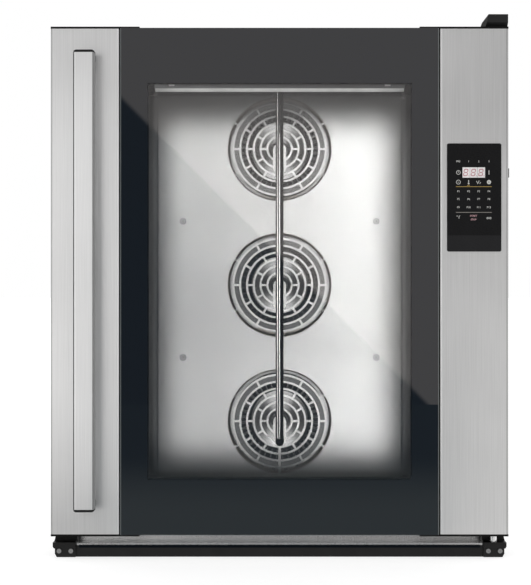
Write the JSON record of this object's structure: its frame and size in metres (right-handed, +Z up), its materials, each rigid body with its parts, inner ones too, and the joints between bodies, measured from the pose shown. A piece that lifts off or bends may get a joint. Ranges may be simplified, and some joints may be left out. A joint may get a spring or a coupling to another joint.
{
  "type": "convection oven",
  "caption": "Upright convection oven with a full-height hinged glass door, side tray racks, ring grilles in a rear baffle over fans and heaters, bar handle and touch panel.",
  "frame": {"origin": "on the floor, under the middle of the oven's width and of its depth from the handle's front to the pipe ends", "axes": "+Z up, -Y out of the door towards the user, +X to the user's right as they face it"},
  "size_m": [0.8026, 0.829, 0.952],
  "materials": {
    "body_steel": "brushed stainless sheet",
    "galvanised_steel": "galvanised sheet",
    "cavity_steel": "polished stainless sheet",
    "baffle_steel": "bright stainless sheet",
    "door_steel": "fine brushed stainless",
    "rail_steel": "folded stainless",
    "bright_steel": "bright, turned or drawn",
    "wheel_steel": "pressed stainless",
    "black_steel": "satin black powder coat",
    "black_plastic": "satin black",
    "black_rubber": "matt silicone",
    "mineral_wool": "pressed fibre board",
    "heater_sheath": "heat-tinted steel sheath",
    "cast_aluminium": "satin",
    "copper": "drawn copper",
    "bronze": "sintered bronze",
    "brass_fitting": "turned brass",
    "circuit_board": "green laminate",
    "outer_glass": "toughened, lightly tinted",
    "inner_glass": "toughened, clear",
    "black_print": "black enamel fired on the glass",
    "lamp_white": "opal white",
    "panel_black": "gloss black touch panel",
    "display_dark": "red figures behind a smoked window"
  },
  "bodies": {
    "oven": {"base_frame": "black_steel", "drip_gutter": "body_steel", "bottom_pan": "body_steel", "side_panels": "body_steel", "top_panel": "body_steel", "back_panel": "body_steel", "rear_bulkhead": "galvanised_steel", "insulation_boards": "mineral_wool", "cavity_liner": "cavity_steel", "cavity_ceiling": "cavity_steel", "door_gasket": "black_rubber", "fan_baffle": "baffle_steel", "baffle_screws": "bright_steel", "heating_elements": "heater_sheath", "fan_motors": "cast_aluminium", "left_rack": "bright_steel", "right_rack": "bright_steel", "humidity_tube": "bright_steel", "tube_end_plug": "black_plastic", "water_pipe": "copper", "water_valve": "brass_fitting", "drain_pipe": "cavity_steel", "exhaust_flue": "cavity_steel", "cable_gland": "black_plastic", "power_board": "circuit_board", "top_hinge_bracket": "black_steel", "lower_right_bracket": "black_steel", "lower_left_bracket": "black_steel", "hinge_pins": "bright_steel", "bracket_screws": "bright_steel", "door_strike": "bright_steel"},
    "door": {"door_left_profile": "door_steel", "door_right_profile": "door_steel", "corner_caps": "black_plastic", "outer_glass": "outer_glass", "window_border": "black_print", "door_top_rail": "rail_steel", "door_bottom_rail": "rail_steel", "inner_glass": "inner_glass", "lamp_housing": "cast_aluminium", "lamp_diffuser": "lamp_white", "lamp_clips": "lamp_white", "handle_bar": "door_steel", "handle_end_caps": "black_plastic", "handle_posts": "black_plastic", "control_panel": "panel_black", "display_module": "display_dark", "control_board": "circuit_board", "port_cover": "black_rubber", "hinge_bushes": "bronze", "catch_housing": "cast_aluminium", "catch_spring": "bright_steel"},
    "catch_plunger": {"catch_plunger": "bright_steel"},
    "catch_roller": {"catch_roller": "bright_steel"},
    "fan_top": {"impeller_top": "wheel_steel", "fan_shaft_top": "bright_steel"},
    "fan_middle": {"impeller_middle": "wheel_steel", "fan_shaft_middle": "bright_steel"},
    "fan_bottom": {"impeller_bottom": "wheel_steel", "fan_shaft_bottom": "bright_steel"}
  },
  "joints": [
    {"name": "door_swing", "type": "hinge", "parent": "oven", "child": "door", "pos_m": [0.3765, -0.3315, 0], "axis": [0, 0, 1], "range_deg": [0, 130]},
    {"name": "catch_slide", "type": "slide", "parent": "door", "child": "catch_plunger", "axis": [1, 0, 0], "range_m": [0, 0.003], "stiffness_N_per_m": 3000, "springref_m": -0.006, "deforming": ["catch_spring"]},
    {"name": "catch_roller_spin", "type": "hinge", "parent": "catch_plunger", "child": "catch_roller", "pos_m": [-0.3661, -0.296, 0.478], "axis": [0, 0, 1], "continuous": true},
    {"name": "fan_spin_top", "type": "hinge", "parent": "oven", "child": "fan_top", "pos_m": [0, 0.25, 0.759], "axis": [0, 1, 0], "continuous": true},
    {"name": "fan_spin_middle", "type": "hinge", "parent": "oven", "child": "fan_middle", "pos_m": [0, 0.25, 0.478], "axis": [0, 1, 0], "continuous": true},
    {"name": "fan_spin_bottom", "type": "hinge", "parent": "oven", "child": "fan_bottom", "pos_m": [0, 0.25, 0.197], "axis": [0, 1, 0], "continuous": true}
  ]
}
